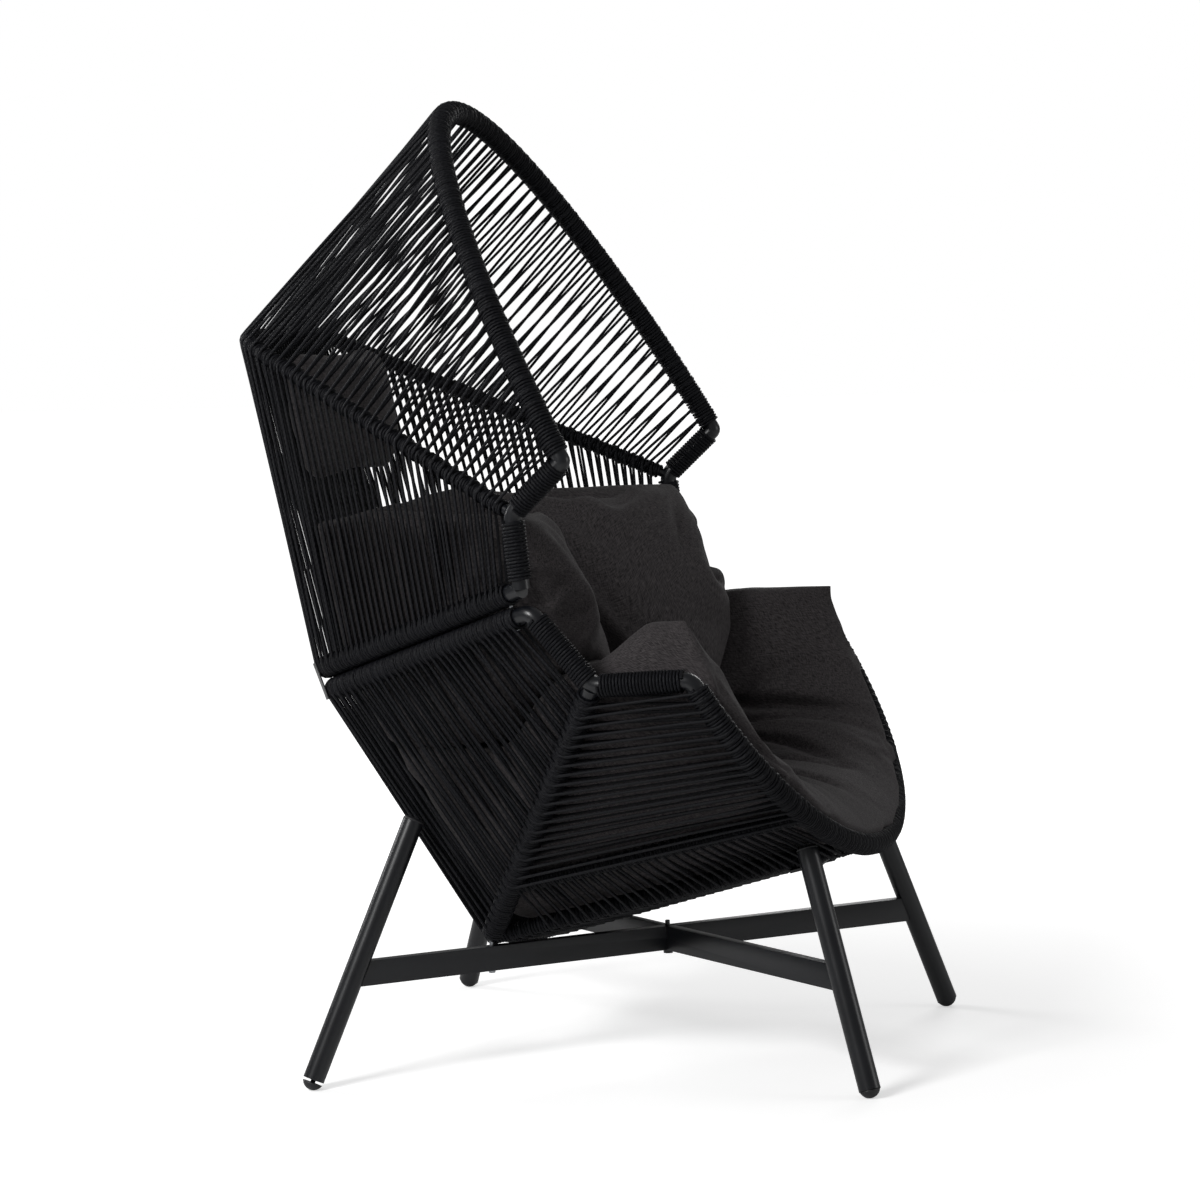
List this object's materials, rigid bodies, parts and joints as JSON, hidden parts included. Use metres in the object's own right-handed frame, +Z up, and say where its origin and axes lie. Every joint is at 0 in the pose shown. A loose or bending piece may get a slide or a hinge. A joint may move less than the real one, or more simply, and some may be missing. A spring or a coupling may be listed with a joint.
{
  "type": "outdoor lounge chair",
  "caption": "Hooded garden lounge chair with a cord-wound tube shell, loose seat cushion, back and head pillows, on a crossed bar base with splayed tube legs.",
  "frame": {"origin": "On the floor, in the middle of the chair's width and depth.", "axes": "+Z up, the chair faces -Y, +X is the sitter's left and the frame is symmetric about X = 0."},
  "size_m": [1.0238, 1.0863, 1.5728],
  "materials": {
    "painted_frame": "black satin powder coat",
    "black_cord": "round woven outdoor cord, matt black",
    "charcoal_fabric": "woven charcoal outdoor cloth",
    "black_plastic": "moulded black",
    "bolt_steel": "plated"
  },
  "bodies": {
    "chair": {"arm_post_winding_left": "black_cord", "arm_post_winding_right": "black_cord", "armrest_winding_left": "black_cord", "armrest_winding_right": "black_cord", "back_pillow_left": "charcoal_fabric", "back_pillow_right": "charcoal_fabric", "base_bar_lower": "painted_frame", "base_bar_upper": "painted_frame", "centre_bolt": "painted_frame", "fold_rail_left": "painted_frame", "fold_rail_right": "painted_frame", "front_bracket_left": "painted_frame", "front_bracket_right": "painted_frame", "front_rim_tube": "painted_frame", "front_rim_winding": "black_cord", "head_pillow": "charcoal_fabric", "hood_arch_tube": "painted_frame", "hood_arch_winding": "black_cord", "hood_back_cords": "black_cord", "hood_belt_tube": "painted_frame", "hood_belt_winding": "black_cord", "hood_bolt_left": "bolt_steel", "hood_bolt_right": "bolt_steel", "hood_ring_tube": "painted_frame", "hood_ring_winding": "black_cord", "hood_side_cords_left": "black_cord", "hood_side_cords_right": "black_cord", "hood_top_cords_left": "black_cord", "hood_top_cords_right": "black_cord", "joining_plate_left": "bolt_steel", "joining_plate_right": "bolt_steel", "keel_tube": "painted_frame", "leg_back_left": "painted_frame", "leg_back_right": "painted_frame", "leg_front_left": "painted_frame", "leg_front_right": "painted_frame", "leg_plug_back_left": "black_plastic", "leg_plug_back_right": "black_plastic", "leg_plug_front_left": "black_plastic", "leg_plug_front_right": "black_plastic", "rear_shell_bolt_left": "bolt_steel", "rear_shell_bolt_right": "bolt_steel", "seat_back_cords": "black_cord", "seat_bottom_cords": "black_cord", "seat_bottom_tube": "painted_frame", "seat_cushion": "charcoal_fabric", "seat_ring_tube": "painted_frame", "seat_ring_winding": "black_cord", "seat_side_back_cords_left": "black_cord", "seat_side_back_cords_right": "black_cord", "seat_side_front_cords_left": "black_cord", "seat_side_front_cords_right": "black_cord", "side_strut_left": "painted_frame", "side_strut_right": "painted_frame", "side_strut_winding_left": "black_cord", "side_strut_winding_right": "black_cord"},
    "glide_front_right": {"levelling_glide_front_right": "black_plastic"},
    "glide_front_left": {"levelling_glide_front_left": "black_plastic"},
    "glide_back_right": {"levelling_glide_back_right": "black_plastic"},
    "glide_back_left": {"levelling_glide_back_left": "black_plastic"}
  },
  "joints": [
    {"name": "glide_front_right_screw", "type": "slide", "parent": "chair", "child": "glide_front_right", "axis": [0.2463, 0.2833, 0.9269], "range_m": [-0.01, 0]},
    {"name": "glide_front_left_screw", "type": "slide", "parent": "chair", "child": "glide_front_left", "axis": [-0.2463, 0.2833, 0.9269], "range_m": [-0.01, 0]},
    {"name": "glide_back_right_screw", "type": "slide", "parent": "chair", "child": "glide_back_right", "axis": [0.2786, -0.3205, 0.9054], "range_m": [-0.0055, 0.0045]},
    {"name": "glide_back_left_screw", "type": "slide", "parent": "chair", "child": "glide_back_left", "axis": [-0.2786, -0.3205, 0.9054], "range_m": [-0.01, 0]}
  ]
}
